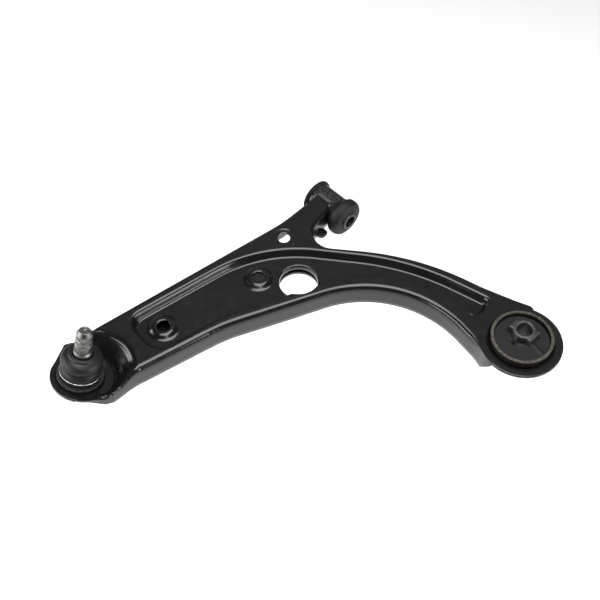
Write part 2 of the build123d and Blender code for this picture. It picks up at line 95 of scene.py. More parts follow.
BIG_HOLE_RADIUS = 18.0
BIG_HOLE_ROLL = 1.9
BIG_HOLE_COLLAR = 5.0
EYE_RADIUS = 15.3

REAR = (234.0, 0.0)
RING_RADIUS = 36.9
RING_HOLE = 27.05
RING_ROLL = 3.7
RING_COLLAR = 11.0
CAN_INSIDE = 24.95
REAR_CORE = (231.2, 6.0)
REAR_CORE_SIZE = (24.0, 14.4)
REAR_CORE_ROUND = 10.5        # radius of the core's round middle
REAR_CORE_TOP, REAR_CORE_FOOT = 24.6, -4.6
REAR_RUBBER_TOP, REAR_RUBBER_FOOT = 16.1, 3.9

# ---- the ball joint, heights along its own axis ---------------------------------------------------
SEAT = Vector((-12.2, -297.5, 3.0))
SEAT_LEAN = 16.3
SEAT_TILT = Matrix.Rotation(math.radians(-SEAT_LEAN), 3, "X") @ Matrix.Rotation(math.radians(2.3), 3, "Y")
PLATFORM_RADIUS = 27.8
PLATFORM_SHIFT = (1.46, 1.59)   # of the platform's centre from the joint's axis
PLATFORM = SEAT + SEAT_TILT @ Vector((*PLATFORM_SHIFT, 0))
PLATFORM_EARS = [
    [(-22.8, -15.1, 0.5), (-38.3, 7.5, 4), (-36.5, 15.5, 4), (-26, 24, 1), (-2, 2, 0.5)],
    [(18, -20.2, 1), (26.6, -8.4, 4), (32.2, 0.5, 3), (32.6, 9, 1), (18, 9, 1)],
]
SLOPE_TOP = (-5.7, -290.7, 37.5)
PLATFORM_HOLE = 19.05
PLATFORM_ROLL = 3.0
PLATFORM_COLLAR = 8.0

WALL_ROUND = 5.0              # how softly the wall behind the platform meets the web
FOOT_ROUND = 3.0

BALL_RADIUS = 11.5
BALL_CENTRE = -4.5
BOOT_SPLIT = 18.4             # where the boot's lower half meets its upper half

# ---- spacing of the pressing's mesh ---------------------------------------------------------------
BOSS_POINTS, BIG_POINTS, REAR_POINTS, SEAT_POINTS = 48, 72, 110, 84
FIRST_ROW_GAP, ROW_GAP, GRID_GAP = 0.09, 0.13, 1.7
GRID_STEP = 3.4
HOLE_MARGIN, EDGE_MARGIN = 0.2, 0.09


# ---- outlines -------------------------------------------------------------------------------------
def moved(corners, distance):
    """Corners of the parallel outline, distance outside the given one."""
    count = len(corners)
    area = sum(
        corners[i - 1][0] * corners[i][1] - corners[i][0] * corners[i - 1][1] for i in range(count)
    )
    outward = distance if area > 0 else -distance
    result = []
    for i, (x, y, radius) in enumerate(corners):
        before, after = corners[i - 1], corners[(i + 1) % count]
        into = Vector((x - before[0], y - before[1])).normalized()
        out = Vector((after[0] - x, after[1] - y)).normalized()
        turn = into.x * out.y - into.y * out.x
        along = (1 - into.dot(out)) / turn
        grown = max(radius + outward * math.copysign(1, turn), 0.05)
        result.append(
            (x + outward * (into.y + along * into.x), y + outward * (-into.x + along * into.y), grown)
        )
    return result


def rounded(corners, spacing=2.0, like=None):
    """Points round the outline, with an arc at each corner, as many as on the outline like, if given."""
    points = []
    count = len(corners)
    pattern = like or corners
    ends = []
    for i, (x, y, radius) in enumerate(corners):
        corner = Vector((x, y))
        back = (Vector(corners[i - 1][:2]) - corner).normalized()
        ahead = (Vector(corners[(i + 1) % count][:2]) - corner).normalized()
        half = back.angle(ahead) / 2
        reach = radius / math.tan(half)
        centre = corner + (back + ahead).normalized() * (radius / math.sin(half))
        start, stop = corner + back * reach, corner + ahead * reach
        arc = (math.pi - 2 * half) * pattern[i][2]
        run = (Vector(pattern[(i + 1) % count][:2]) - Vector(pattern[i][:2])).length
        ends.append((centre, start, stop, math.pi - 2 * half, arc, run))
    for i, (centre, start, stop, angle, arc, run) in enumerate(ends):
        steps = max(5, round(arc / spacing))
        first = start - centre
        sign = 1 if first.x * (stop - centre).y - first.y * (stop - centre).x > 0 else -1
        for k in range(steps + 1):
            turned = Matrix.Rotation(sign * angle * k / steps, 2) @ first
            points.append(centre + turned)
        following = ends[(i + 1) % count][1]
        pieces = max(1, round(0.5 * run / spacing))
        for k in range(1, pieces):
            points.append(stop.lerp(following, k / pieces))
    return np.array([tuple(p) for p in points])


def signed_distance(loop, points):
    """Distance of each point from the closed loop, positive inside."""
    a, b = loop, np.roll(loop, -1, axis=0)
    edge = b - a
    length2 = np.maximum((edge**2).sum(1), 1e-12)
    best = np.full(len(points), 1e9)
    inside = np.zeros(len(points), bool)
    for first in range(0, len(points), 4000):
        p = points[first:first + 4000]
        to = p[:, None] - a[None]
        t = np.clip((to * edge).sum(2) / length2, 0, 1)
        gap = to - t[..., None] * edge
        best[first:first + 4000] = np.sqrt((gap**2).sum(2).min(1))
        crosses = (a[:, 1] > p[:, None, 1]) != (b[:, 1] > p[:, None, 1])
        rise = np.where(np.abs(edge[:, 1]) < 1e-12, 1e-12, edge[:, 1])
        at = a[:, 0] + (p[:, None, 1] - a[:, 1]) * edge[:, 0] / rise
        inside[first:first + 4000] = (crosses & (p[:, None, 0] < at)).sum(1) % 2 == 1
    return np.where(inside, best, -best)


def smoothstep(low, high, value):
    """0 up to low, 1 from high on, and a smooth rise between them."""
    t = np.clip((value - low) / (high - low), 0, 1)
    return t * t * (3 - 2 * t)


def smooth_min(a, b, width):
    """The lesser of the two, rounded over where they cross."""
    h = np.clip(0.5 + 0.5 * (b - a) / width, 0, 1)
    return b * (1 - h) + a * h - width * h * (1 - h)


def circle(centre, radius, count, start=0.0):
    angles = start + np.arange(count) * 2 * math.pi / count
    return np.stack([centre[0] + radius * np.cos(angles), centre[1] + radius * np.sin(angles)], 1)


def tilted(local_points):
    """Points given in the ball joint's own axes, in the frame."""
    turn = np.array(SEAT_TILT)
    return np.asarray(local_points, float) @ turn.T + np.array(SEAT)


def on_platform(flat, shift=PLATFORM_SHIFT):
    """Points drawn flat about the platform's centre, seen from above in the frame."""
    return tilted(np.column_stack([np.asarray(flat) + shift, np.zeros(len(flat))]))[:, :2]


# ---- heights of the pressing's upper face ---------------------------------------------------------
def wall_profile():
    """Run and drop of the recess wall: a round top edge, a straight wall and a round foot."""
    lean = math.radians(RECESS_WALL)
    run, drop = [], []
    for k in range(7):
        a = lean * k / 6
        run.append(RECESS_TOP_ROUND * math.sin(a))
        drop.append(RECESS_TOP_ROUND * (1 - math.cos(a)))
    rounds = (RECESS_TOP_ROUND + RECESS_FOOT_ROUND) * (1 - math.cos(lean))
    straight = (RECESS_DEPTH - rounds) / math.sin(lean)
    top_run, top_drop = run[-1], drop[-1]
    foot_run, foot_drop = top_run + straight * math.cos(lean), top_drop + straight * math.sin(lean)
    for k in range(1, 3):
        run.append(top_run + (foot_run - top_run) * k / 2)
        drop.append(top_drop + (foot_drop - top_drop) * k / 2)
    for k in range(1, 7):
        a = lean * (1 - k / 6)
        run.append(foot_run + RECESS_FOOT_ROUND * (math.sin(lean) - math.sin(a)))
        drop.append(foot_drop + RECESS_FOOT_ROUND * (math.cos(a) - math.cos(lean)))
    shift = RECESS_TOP_ROUND * math.tan(lean / 2)
    return np.array(run) - shift, np.array(drop)


def plane_height(points):
    """Height of the platform's plane above each point."""
    normal = np.array(SEAT_TILT)[:, 2]
    away = points - np.array(SEAT)[:2]
    return SEAT.z - (away @ normal[:2]) / normal[2]


def place_on_wall(points):
    """How far up the wall behind the platform each point is, 0 at its foot and 1 at the web, and its
    place round the wall, as two coordinates on a unit circle."""
    low, high = np.full(len(points), -0.6), np.full(len(points), 4.0)
    x, y, radius = SLOPE_TOP
    squeeze = math.cos(math.radians(SEAT_LEAN))
    for _ in range(36):
        t = (low + high) / 2
        across = (points[:, 0] - (PLATFORM.x + (x - PLATFORM.x) * t)) / (
            PLATFORM_RADIUS * (1 - t) + radius * t
        )
        along = (points[:, 1] - (PLATFORM.y + (y - PLATFORM.y) * t)) / (
            PLATFORM_RADIUS * squeeze * (1 - t) + radius * t
        )
        outside = across**2 + along**2 > 1
        low, high = np.where(outside, t, low), np.where(outside, high, t)
    return (low + high) / 2, across, along


def slope_height(points):
    """Upper face of the platform and of the wall behind it."""
    t, across, along = place_on_wall(points)
    foot = np.column_stack([across, along]) * PLATFORM_RADIUS + PLATFORM_SHIFT
    foot = tilted(np.column_stack([foot, np.zeros(len(t))]))
    wall = foot[:, 2] * (1 - t) + WEB_TOP * t
    return -smooth_min(-plane_height(points), -wall, FOOT_ROUND)


class Pressing:
    """Outlines and height function of the upper pressing."""

    def __init__(self):
        self.arm = rounded(ARM_OUTLINE)
        self.recess = rounded(RECESS_OUTLINE)
        self.run, self.drop = wall_profile()
        self.disc = on_platform(circle((0, 0), PLATFORM_RADIUS, 96))
        self.ears = [on_platform(rounded(ear, 1.0)) for ear in PLATFORM_EARS]
        self.ring = circle(REAR, RING_RADIUS, 132)

    def flat_ends(self, points):
        """Distance outside the rear ring, the platform and its ears."""
        loops = (self.ring, self.disc, *self.ears)
        return -np.maximum.reduce([signed_distance(loop, points) for loop in loops])

    def height(self, points):
        """Height of the upper face at each point."""
        arm_distance = signed_distance(self.arm, points)
        z = smooth_min(np.full(len(points), WEB_TOP), slope_height(points), WALL_ROUND)
        outside = self.flat_ends(points)
        ear = (1 - smoothstep(-0.3, 1.5, arm_distance)) * (1 - smoothstep(0, 1.5, outside))
        z += (np.minimum(plane_height(points), z) - z) * ear
        z = np.where(points[:, 1] > -200, WEB_TOP, z)
        z -= np.interp(signed_distance(self.recess, points), self.run, self.drop)
        for x, y in BOSSES:
            away = np.hypot(points[:, 0] - x, points[:, 1] - y)
            z += BOSS_HEIGHT * (1 - smoothstep(BOSS_TOP, BOSS_FOOT, away))
            z -= 0.35 * (1 - smoothstep(BOSS_HOLE, BOSS_HOLE + 0.8, away))
        away = np.hypot(points[:, 0] - NECK_HOLE[0], points[:, 1] - NECK_HOLE[1])
        z -= NECK_COIN[2] * (1 - smoothstep(NECK_COIN[0], NECK_COIN[1], away))
        z -= 0.3 * (1 - smoothstep(NECK_HOLE_RADIUS, NECK_HOLE_RADIUS + 0.8, away))
        near = np.clip(arm_distance, 0, BEND)
        bend = BEND - np.sqrt(BEND**2 - (BEND - near) ** 2)
        return z - bend * smoothstep(0, 9, outside)

    def boundary(self):
        """Ordered points round the whole pressing, and which of them carry a flange."""
        loops = [refined(loop, 1.6) for loop in (self.arm, self.ring, self.disc, *self.ears)]
        points, constraints = [], []
        for loop in loops:
            first = len(points)
            points.extend(Vector(p) for p in loop)
            constraints.extend((first + k, first + (k + 1) % len(loop)) for k in range(len(loop)))
        verts, _, faces, *_ = delaunay_2d_cdt(points, constraints, [], 0, 1e-4)
        flat = np.array([tuple(v) for v in verts])
        centres = np.array([flat[list(face)].mean(0) for face in faces])
        inside = np.maximum.reduce([signed_distance(loop, centres) for loop in loops]) > 0
        following = {}
        for face, keep in zip(faces, inside):
            if keep:
                following.update({(a, b): True for a, b in zip(face, face[1:] + face[:1])})
        rim = {a: b for a, b in following if (b, a) not in following}
        edge = flat[walked(rim, flat)]
        others = np.maximum.reduce([signed_distance(loop, edge) for loop in loops[1:]])
        flange = (np.abs(signed_distance(loops[0], edge)) < 0.05) & (others < 0.05)
        flange |= (edge[:, 0] > 215) & (edge[:, 0] < FLANGE_RISE[0][1]) & (edge[:, 1] < 0)
        flange |= (edge[:, 0] > 8) & (edge[:, 1] < -290)
        return edge, flange


def walked(rim, flat):
    """Indices round the rim, leaving out points that nearly repeat the one before."""
    at = max(rim, key=lambda i: flat[i, 0])
    order = [at]
    for _ in range(len(rim)):
        at = rim[at]
        if at == order[0]:
            break
        if np.hypot(*(flat[at] - flat[order[-1]])) > 0.45:
            order.append(at)
    return order


def refined(loop, spacing):
    """The closed loop with points no further apart than spacing."""
    points = []
    for a, b in zip(loop, np.roll(loop, -1, axis=0)):
        count = max(1, math.ceil(np.linalg.norm(b - a) / spacing))
        if np.linalg.norm(b - a) < 0.02:
            continue
        points.extend(a + (b - a) * k / count for k in range(count))
    return np.array(points)


# ---- building the pressing's mesh -----------------------------------------------------------------
def scatter(pressing, edge):
    """Points inside the pressing: rings along every bend and edge, and a wide grid between them."""
    rings = []
    for k in range(2, 9):
        inset = BEND * (1 - math.cos(math.radians(11.25 * k)))
        rings.append(rounded(moved(ARM_OUTLINE, -inset), like=ARM_OUTLINE))
    rings.append(rounded(moved(ARM_OUTLINE, -BEND - 1.2), like=ARM_OUTLINE))
    for e in np.concatenate([[pressing.run[0] - 0.9], pressing.run, [pressing.run[-1] + 0.9]]):
        rings.append(rounded(moved(RECESS_OUTLINE, -e), like=RECESS_OUTLINE))
    for centre in BOSSES:
        for radius in (6.3, 6.8, 7.6, 8.4, 9.4, 10.4, 11.6, 12.8, 13.8, 14.9, 16.2):
            rings.append(circle(centre, radius, BOSS_POINTS))
    for radius in (6.2, 6.7, 7.6, 9.0, 9.8, 10.5, 11.2, 12.0, 13.2):
        rings.append(circle(NECK_HOLE, radius, BOSS_POINTS))
    for radius in (20.4, 21.4):
        rings.append(circle(BIG_HOLE, radius, BIG_POINTS))
    for radius in (31.4, 32.6, 34.2, 35.8):
        rings.append(circle(REAR, radius, REAR_POINTS))
    for radius in (22.6, 23.6, 25.0):
        rings.append(on_platform(circle((0, 0), radius, SEAT_POINTS), (0, 0)))
    x, y, top = SLOPE_TOP
    for t in np.arange(-0.1, 1.36, 0.055):
        angles = np.arange(120) * math.pi / 60
        px = PLATFORM.x + (x - PLATFORM.x) * t + (PLATFORM_RADIUS * (1 - t) + top * t) * np.cos(angles)
        py = PLATFORM.y + (y - PLATFORM.y) * t + (PLATFORM_RADIUS * 0.96 * (1 - t) + top * t) * np.sin(angles)
        rings.append(np.stack([px, py], 1))
    low, high = edge.min(0), edge.max(0)
    across = np.arange(low[0], high[0], GRID_STEP)
    xs, ys = np.meshgrid(across, np.arange(low[1], high[1], GRID_STEP * 0.87))
    xs[1::2] += GRID_STEP / 2
    grid = np.stack([xs.ravel(), ys.ravel()], 1)
    return rings, grid


def holes():
    """Loops of the plain holes, then of the three holes whose edge rolls down into a collar."""
    plain = [circle(centre, BOSS_HOLE, BOSS_POINTS) for centre in BOSSES]
    plain.append(circle(NECK_HOLE, NECK_HOLE_RADIUS, BOSS_POINTS))
    big = circle(BIG_HOLE, BIG_HOLE_RADIUS + BIG_HOLE_ROLL, BIG_POINTS)
    ring = circle(REAR, RING_HOLE + RING_ROLL, REAR_POINTS)
    seat = on_platform(circle((0, 0), PLATFORM_HOLE + PLATFORM_ROLL, SEAT_POINTS), (0, 0))
    return plain + [big, ring, seat]


def clear_of(loops, points, margin):
    """Which points lie outside every loop by more than margin."""
    keep = np.ones(len(points), bool)
    for loop in loops:
        keep &= signed_distance(loop, points) < -margin
    return keep


def accept(tree_points, candidates, gap):
    """The candidates that lie at least gap from every point accepted so far."""
    tree = KDTree(len(tree_points))
    for i, p in enumerate(tree_points):
        tree.insert((p[0], p[1], 0), i)
    tree.balance()
    return [p for p in candidates if tree.find((p[0], p[1], 0))[2] >= gap]


def upright(centre, height):
    """Places (radius, height, angle) about an upright axis."""
    def place(r, s, a):
        return centre[0] + r * math.cos(a), centre[1] + r * math.sin(a), height + s
    return place


def about_ball(r, s, a):
    """Places (radius, height, angle) about the ball joint's axis."""
    return tilted([(r * math.cos(a), r * math.sin(a), s)])[0]


def collar(mesh, loop, place, radius, roll, depth, levels=5):
    """Rolls the hole's edge down into a collar."""
    rows = [loop]
    count = len(loop)
    steps = [(radius + roll * (1 - math.sin(a)), roll * (math.cos(a) - 1))
             for a in np.linspace(0, math.pi / 2, levels + 1)[1:]]
    straight = [(radius, -roll - (depth - roll) * k / 3) for k in (1, 2, 3)]
    for r, s in steps + straight:
        row = [mesh.verts.new(Vector(place(r, s, 2 * math.pi * k / count)) * MM) for k in range(count)]
        rows.append(row)
    for upper, lower in zip(rows, rows[1:]):
        for k in range(count):
            n = (k + 1) % count
            mesh.faces.new((upper[k], upper[n], lower[n], lower[k]))


def flat_web(pressing, edge):
    """Points and triangles of the web, seen from above, and where each hole's loop starts and its length."""
    hole_loops = holes()
    rings, grid = scatter(pressing, edge)
    points = list(edge)
    constraints = [(i, (i + 1) % len(edge)) for i in range(len(edge))]
    starts = []
    for loop in hole_loops:
        first = len(points)
        starts.append((first, len(loop)))
        points.extend(loop)
        constraints.extend((first + i, first + (i + 1) % len(loop)) for i in range(len(loop)))
    gaps = [FIRST_ROW_GAP] + [ROW_GAP] * (len(rings) - 1) + [GRID_GAP]
    for candidates, gap in zip(rings + [grid], gaps):
        usable = candidates[clear_of(hole_loops, candidates, HOLE_MARGIN)]
        usable = usable[signed_distance(edge, usable) > EDGE_MARGIN]
        points.extend(accept(points, usable, gap))

    verts, _, faces, *_ = delaunay_2d_cdt([Vector(p) for p in points], constraints, [], 0, 1e-5)
    flat = np.array([tuple(v) for v in verts])
    triangles = np.array([f for f in faces if len(f) == 3])
    centres = flat[triangles].mean(1)
    keep = (signed_distance(edge, centres) > 0) & clear_of(hole_loops, centres, 0)
    return flat, triangles[keep], starts


def pressing_mesh():
    """Outer skin of the upper pressing; a modifier gives it the sheet's thickness."""
    pressing = Pressing()
    edge, flanged = pressing.boundary()
    flat, triangles, starts = flat_web(pressing, edge)

    mesh = bmesh.new()
    made = [mesh.verts.new((x * MM, y * MM, h * MM)) for (x, y), h in zip(flat, pressing.height(flat))]
    for a, b, c in triangles:
        u, v = flat[b] - flat[a], flat[c] - flat[a]
        order = (a, b, c) if u[0] * v[1] - u[1] * v[0] > 0 else (a, c, b)
        mesh.faces.new([made[i] for i in order])
    collars = (
        (upright(BIG_HOLE, WEB_TOP - RECESS_DEPTH), BIG_HOLE_RADIUS, BIG_HOLE_ROLL, BIG_HOLE_COLLAR),
        (upright(REAR, WEB_TOP), RING_HOLE, RING_ROLL, RING_COLLAR),
        (about_ball, PLATFORM_HOLE, PLATFORM_ROLL, PLATFORM_COLLAR),
    )
    for (first, count), (place, radius, roll, depth) in zip(starts[-len(collars):], collars):
        collar(mesh, made[first:first + count], place, radius, roll, depth)
    side_wall(mesh, made, edge, flanged)
    return trimmed(mesh)


def trimmed(mesh):
    """The pressing without the faces that reach into the eye, all turned upwards and outwards."""
    mesh.verts.ensure_lookup_table()
    mesh.normal_update()
    into_eye = [f for f in mesh.faces if beyond_eye(f.calc_center_median() / MM)]
    bmesh.ops.delete(mesh, geom=into_eye, context="FACES")
    loose = [v for v in mesh.verts if not v.link_faces]
    bmesh.ops.delete(mesh, geom=loose, context="VERTS")
    bmesh.ops.recalc_face_normals(mesh, faces=mesh.faces)
    top = max(mesh.faces, key=lambda f: f.calc_center_median().z)
    if top.normal.z < 0:
        bmesh.ops.reverse_faces(mesh, faces=mesh.faces)
    return mesh


def beyond_eye(point):
    """True inside the wall of the tube that the neck is welded to."""
    return -40 < point.x < 30 and point.y > -20 and math.hypot(point.y, point.z) < EYE_RADIUS - 1.0


def side_wall(mesh, made, edge, flanged):
    """Flange down from every flanged stretch of the boundary."""
    count = len(edge)
    rows = 5
    columns = {}
    for i in range(count):
        if flanged[i]:
            top = made[i].co.copy()
            foot = flange_foot(edge[i]) * MM
            column = [made[i]]
            for k in range(1, rows + 1):
                column.append(mesh.verts.new((top.x, top.y, top.z + (foot - top.z) * k / rows)))
            columns[i] = column
    for i in range(count):
        n = (i + 1) % count
        if i in columns and n in columns:
            for k in range(rows):
                a, b = columns[i], columns[n]
                mesh.faces.new((a[k], a[k + 1], b[k + 1], b[k]))


def flange_foot(point):
    """The flanges reach a little lower along the middle of the outer arm and rise into the rear ring."""
    middle = math.exp(-((point[1] + 120) / 55) ** 2) * math.exp(-((point[0] - 60) / 60) ** 2)
    (start, end), top = FLANGE_RISE
    rise = min(max((point[0] - start) / (end - start), 0), 1)
    foot = FLANGE_FOOT - 1.2 * middle + (top - FLANGE_FOOT) * rise
    round_end = min(max((-293 - point[1]) / 15, 0), 1)
    return foot + (plane_height(point[None])[0] - SHEET - foot) * round_end


# ---- objects --------------------------------------------------------------------------------------
def finished(mesh, name, material, body, node=None, angle=38):
    """Object from a bmesh, shaded smooth, that stands for its CAD node and rides on its body, if given."""
    data = bpy.data.meshes.new(name)
    mesh.to_mesh(data)
    mesh.free()
    for polygon in data.polygons:
        polygon.use_smooth = True
    data.set_sharp_from_angle(angle=math.radians(angle))
    obj = bpy.data.objects.new(name, data)
    bpy.context.scene.collection.objects.link(obj)
    data.materials.append(material)
    if node:
        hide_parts(node)
    if body:
        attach(obj, body)
    return obj


def spin_mesh(profile, place, count):
    """Mesh turned about Z from (radius, height) points, then placed by a function of a point."""
    mesh = bmesh.new()
    rows = []
    for r, s in profile:
        if r < 1e-6:
            rows.append([mesh.verts.new(Vector(place((0, 0, s))) * MM)])
            continue
        row = []
        for k in range(count):
            a = 2 * math.pi * k / count
            row.append(mesh.verts.new(Vector(place((r * math.cos(a), r * math.sin(a), s))) * MM))
        rows.append(row)
    for lower, upper in zip(rows, rows[1:]):
        for k in range(count):
            n = (k + 1) % count
            if len(lower) == 1:
                mesh.faces.new((lower[0], upper[n], upper[k]))
            elif len(upper) == 1:
                mesh.faces.new((lower[k], lower[n], upper[0]))
            else:
                mesh.faces.new((lower[k], lower[n], upper[n], upper[k]))
    return closed(mesh)


def closed(mesh):
    """Joins rows that meet and turns every face outwards."""
    bmesh.ops.remove_doubles(mesh, verts=mesh.verts, dist=0.002 * MM)
    bmesh.ops.recalc_face_normals(mesh, faces=mesh.faces)
    return mesh


# ---- materials ------------------------------------------------------------------------------------
class Paint:
    """Small helper that wires a procedural material."""

    def __init__(self, name, **constants):
        self.material = bpy.data.materials.new(name)
        self.material.use_nodes = True
        self.nodes = self.material.node_tree.nodes
        self.links = self.material.node_tree.links
        self.shader = self.nodes["Principled BSDF"]
        for socket, value in constants.items():
            self.shader.inputs[socket.replace("_", " ")].default_value = value
        self.place = self.nodes.new("ShaderNodeTexCoord").outputs["Object"]

    def noise(self, scale, detail=4.0, roughness=0.55, stretch=None):
        node = self.nodes.new("ShaderNodeTexNoise")
        node.inputs["Scale"].default_value = scale
        node.inputs["Detail"].default_value = detail
        node.inputs["Roughness"].default_value = roughness
        source = self.place
        if stretch:
            mapping = self.nodes.new("ShaderNodeMapping")
            mapping.inputs["Scale"].default_value = stretch
            self.links.new(self.place, mapping.inputs["Vector"])
            source = mapping.outputs["Vector"]
        self.links.new(source, node.inputs["Vector"])
        return node.outputs["Fac"]

    def ramp(self, value, stops):
        node = self.nodes.new("ShaderNodeValToRGB")
        while len(node.color_ramp.elements) < len(stops):
            node.color_ramp.elements.new(0.5)
        for element, (position, colour) in zip(node.color_ramp.elements, stops):
            element.position = position
            element.color = (*colour, 1) if isinstance(colour, tuple) else (colour, colour, colour, 1)
        self.links.new(value, node.inputs["Fac"])
        return node.outputs["Color"]

    def mix(self, share, first, colour):
        """Colour first, with share of the plain colour over it."""
        node = self.nodes.new("ShaderNodeMix")
        node.data_type = "RGBA"
        self.links.new(share, node.inputs["Factor"])
        self.links.new(first, node.inputs["A"])
        node.inputs["B"].default_value = (*colour, 1)
        return node.outputs["Result"]

    def times(self, first, second):
        node = self.nodes.new("ShaderNodeMath")
        node.operation = "MULTIPLY"
        self.links.new(first, node.inputs[0])
        self.links.new(second, node.inputs[1])
        return node.outputs["Value"]

    def edges(self, low, high, scale):
        """Worn share of the edges, broken up by noise."""
        raised = self.nodes.new("ShaderNodeNewGeometry").outputs["Pointiness"]
        return self.times(self.ramp(raised, [(low, 0.0), (high, 1.0)]),
                          self.ramp(self.noise(scale, 5, 0.6), [(0.4, 0.0), (0.6, 1.0)]))

    def spots(self, scale, size, share):
        """Small round specks, one in some of the cells of a grid this fine."""
        cells = self.nodes.new("ShaderNodeTexVoronoi")
        cells.inputs["Scale"].default_value = scale
        self.links.new(self.place, cells.inputs["Vector"])
        dots = self.ramp(cells.outputs["Distance"], [(size, 1.0), (size * 1.5, 0.0)])
        return self.times(dots, self.ramp(self.noise(share, 3, 0.6), [(0.55, 0.0), (0.6, 1.0)]))

    def set(self, socket, output):
        self.links.new(output, self.shader.inputs[socket])

    def bump(self, heights, distance, strength=1.0):
        node = self.nodes.new("ShaderNodeBump")
        node.inputs["Distance"].default_value = distance
        node.inputs["Strength"].default_value = strength
        self.links.new(heights, node.inputs["Height"])
        self.set("Normal", node.outputs["Normal"])


def coat_paint(name, flat=0.005, rough=0.17):
    """Black dip coat over rolled sheet: cloudy gloss, fine peel, rubbed edges and a few dust specks."""
    paint = Paint(name, Specular_IOR_Level=0.34, Coat_Weight=0.16, Coat_Roughness=0.08)
    base = paint.ramp(paint.noise(38, 6, 0.62), [
        (0.3, (flat * 0.8, flat * 0.81, flat * 0.84)), (0.72, (flat * 1.35, flat * 1.36, flat * 1.4)),
    ])
    scuffed = paint.mix(paint.edges(0.515, 0.60, 420), base, (0.03, 0.03, 0.031))
    specks = paint.spots(85, 0.016, 4)
    paint.set("Base Color", paint.mix(specks, scuffed, (0.35, 0.35, 0.34)))
    paint.set("Roughness", paint.ramp(paint.noise(120, 6, 0.65), [(0.3, rough - 0.06), (0.75, rough + 0.1)]))
    paint.bump(paint.noise(260, 3, 0.5), 0.00005, 0.12)
    return paint.material


def rubber_paint(name, shade=0.006, rough=0.55, grain=1500):
    """Moulded rubber: matte, mottled with bloom, paler along its edges, with a fine mould grain."""
    paint = Paint(name, Specular_IOR_Level=0.25)
    base = paint.ramp(paint.noise(190, 7, 0.65), [
        (0.25, (shade * 0.7, shade * 0.7, shade * 0.72)), (0.8, (shade * 1.5, shade * 1.5, shade * 1.5)),
    ])
    pale = (shade * 2.6, shade * 2.6, shade * 2.6)
    paint.set("Base Color", paint.mix(paint.edges(0.52, 0.62, 300), base, pale))
    paint.set("Roughness", paint.ramp(paint.noise(90, 5, 0.6), [(0.3, rough - 0.1), (0.7, rough + 0.12)]))
    paint.bump(paint.noise(grain, 3, 0.55), 0.0001, 0.45)
    return paint.material


def steel_paint(name, colour=(0.2, 0.2, 0.195), rough=0.42, stain=(0.09, 0.087, 0.08), lines=1.0):
    """Steel with stains, fine tool marks when lines is above one, and brighter worn edges."""
    paint = Paint(name, Metallic=1.0)
    base = paint.ramp(paint.noise(300, 7, 0.65), [(0.3, stain), (0.66, colour)])
    bright = tuple(min(1.0, c * 1.35) for c in colour)
    paint.set("Base Color", paint.mix(paint.edges(0.52, 0.6, 500), base, bright))
    paint.set("Roughness", paint.ramp(paint.noise(420, 5, 0.6), [(0.3, rough - 0.08), (0.75, rough + 0.14)]))
    paint.bump(paint.noise(1500, 3, 0.6, (1, 1, lines)), 0.00005, 0.5)
    return paint.material


# ---- soft and turned pieces -----------------------------------------------------------------------
def softened(corners):
    """Points along an open line; a third number on a corner is how far it is eased to either side."""
    points = [tuple(corners[0][:2])]
    for before, corner, after in zip(corners, corners[1:], corners[2:]):
        here = Vector(corner[:2])
        back, ahead = Vector(before[:2]) - here, Vector(after[:2]) - here
        reach = corner[2] if len(corner) > 2 else 0.3
        start = here + back.normalized() * min(reach, 0.48 * back.length)
        stop = here + ahead.normalized() * min(reach, 0.48 * ahead.length)
        for k in range(5):
            s = k / 4
            points.append(tuple(start * (1 - s) ** 2 + here * 2 * s * (1 - s) + stop * s * s))
    return points + [tuple(corners[-1][:2])]


def at_ball(point):
    return tilted([point])[0]


def along_x(point):
    """A point turned about Z, laid down so that its axis runs along +X."""
    return point[2], -point[1], point[0]


def dust_boot(rubber):
    """The boot in two halves, the lower and the upper, split at BOOT_SPLIT and left in place in the frame."""
    split = BOOT_SPLIT
    lower = [
        (14.9, split), (14.9, 16.9, 0.3), (16.9, 15.2, 0.7), (17.9, 12.6, 0.8), (18.15, 10.5, 0.3),
        (17.65, 9.7, 0.3), (17.45, 9.2, 0.3), (17.45, 8.0, 0.3), (18.1, 7.4, 0.2), (18.0, 6.4, 0.3),
        (17.3, 4.4, 0.4), (16.4, 4.4, 0.3), (16.4, 8.5, 0.4), (17.05, 9.4, 0.4), (16.3, 12.0, 0.8),
        (15.6, 14.6, 0.8), (14.0, 17.0, 0.8), (14.0, split), (14.9, split),
    ]
    upper = [
        (14.0, split), (14.2, 19.8, 0.6), (15.9, 21.2, 0.6), (16.2, 22.6, 0.8), (15.6, 24.2, 0.8),
        (13.9, 25.6, 0.8), (11.4, 26.5, 0.5), (8.7, 27.6, 0.5), (8.7, 30.4, 0.3), (9.4, 30.8, 0.2),
        (11.6, 30.3, 0.5), (12.3, 29.0, 0.4), (12.7, 28.75, 0.2), (15.0, 27.7, 1.2), (17.1, 25.7, 1.3),
        (18.0, 23.1, 1.2), (18.1, 20.6, 0.8), (17.7, 19.4, 0.3), (15.3, 19.3, 0.3), (14.9, split),
        (14.0, split),
    ]
    for name, profile, bodies, start, end in (
        ("dust_boot_lower", lower, ("arm", "stud_swing"), 10.0, split),
        ("dust_boot_upper", upper, ("stud_swing", "stud_tilt"), split, 27.8),
    ):
        mesh = spin_mesh(softened(profile), at_ball, 120)
        piece = finished(mesh, name, rubber, None, "dust_boot", 60)
        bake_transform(piece)


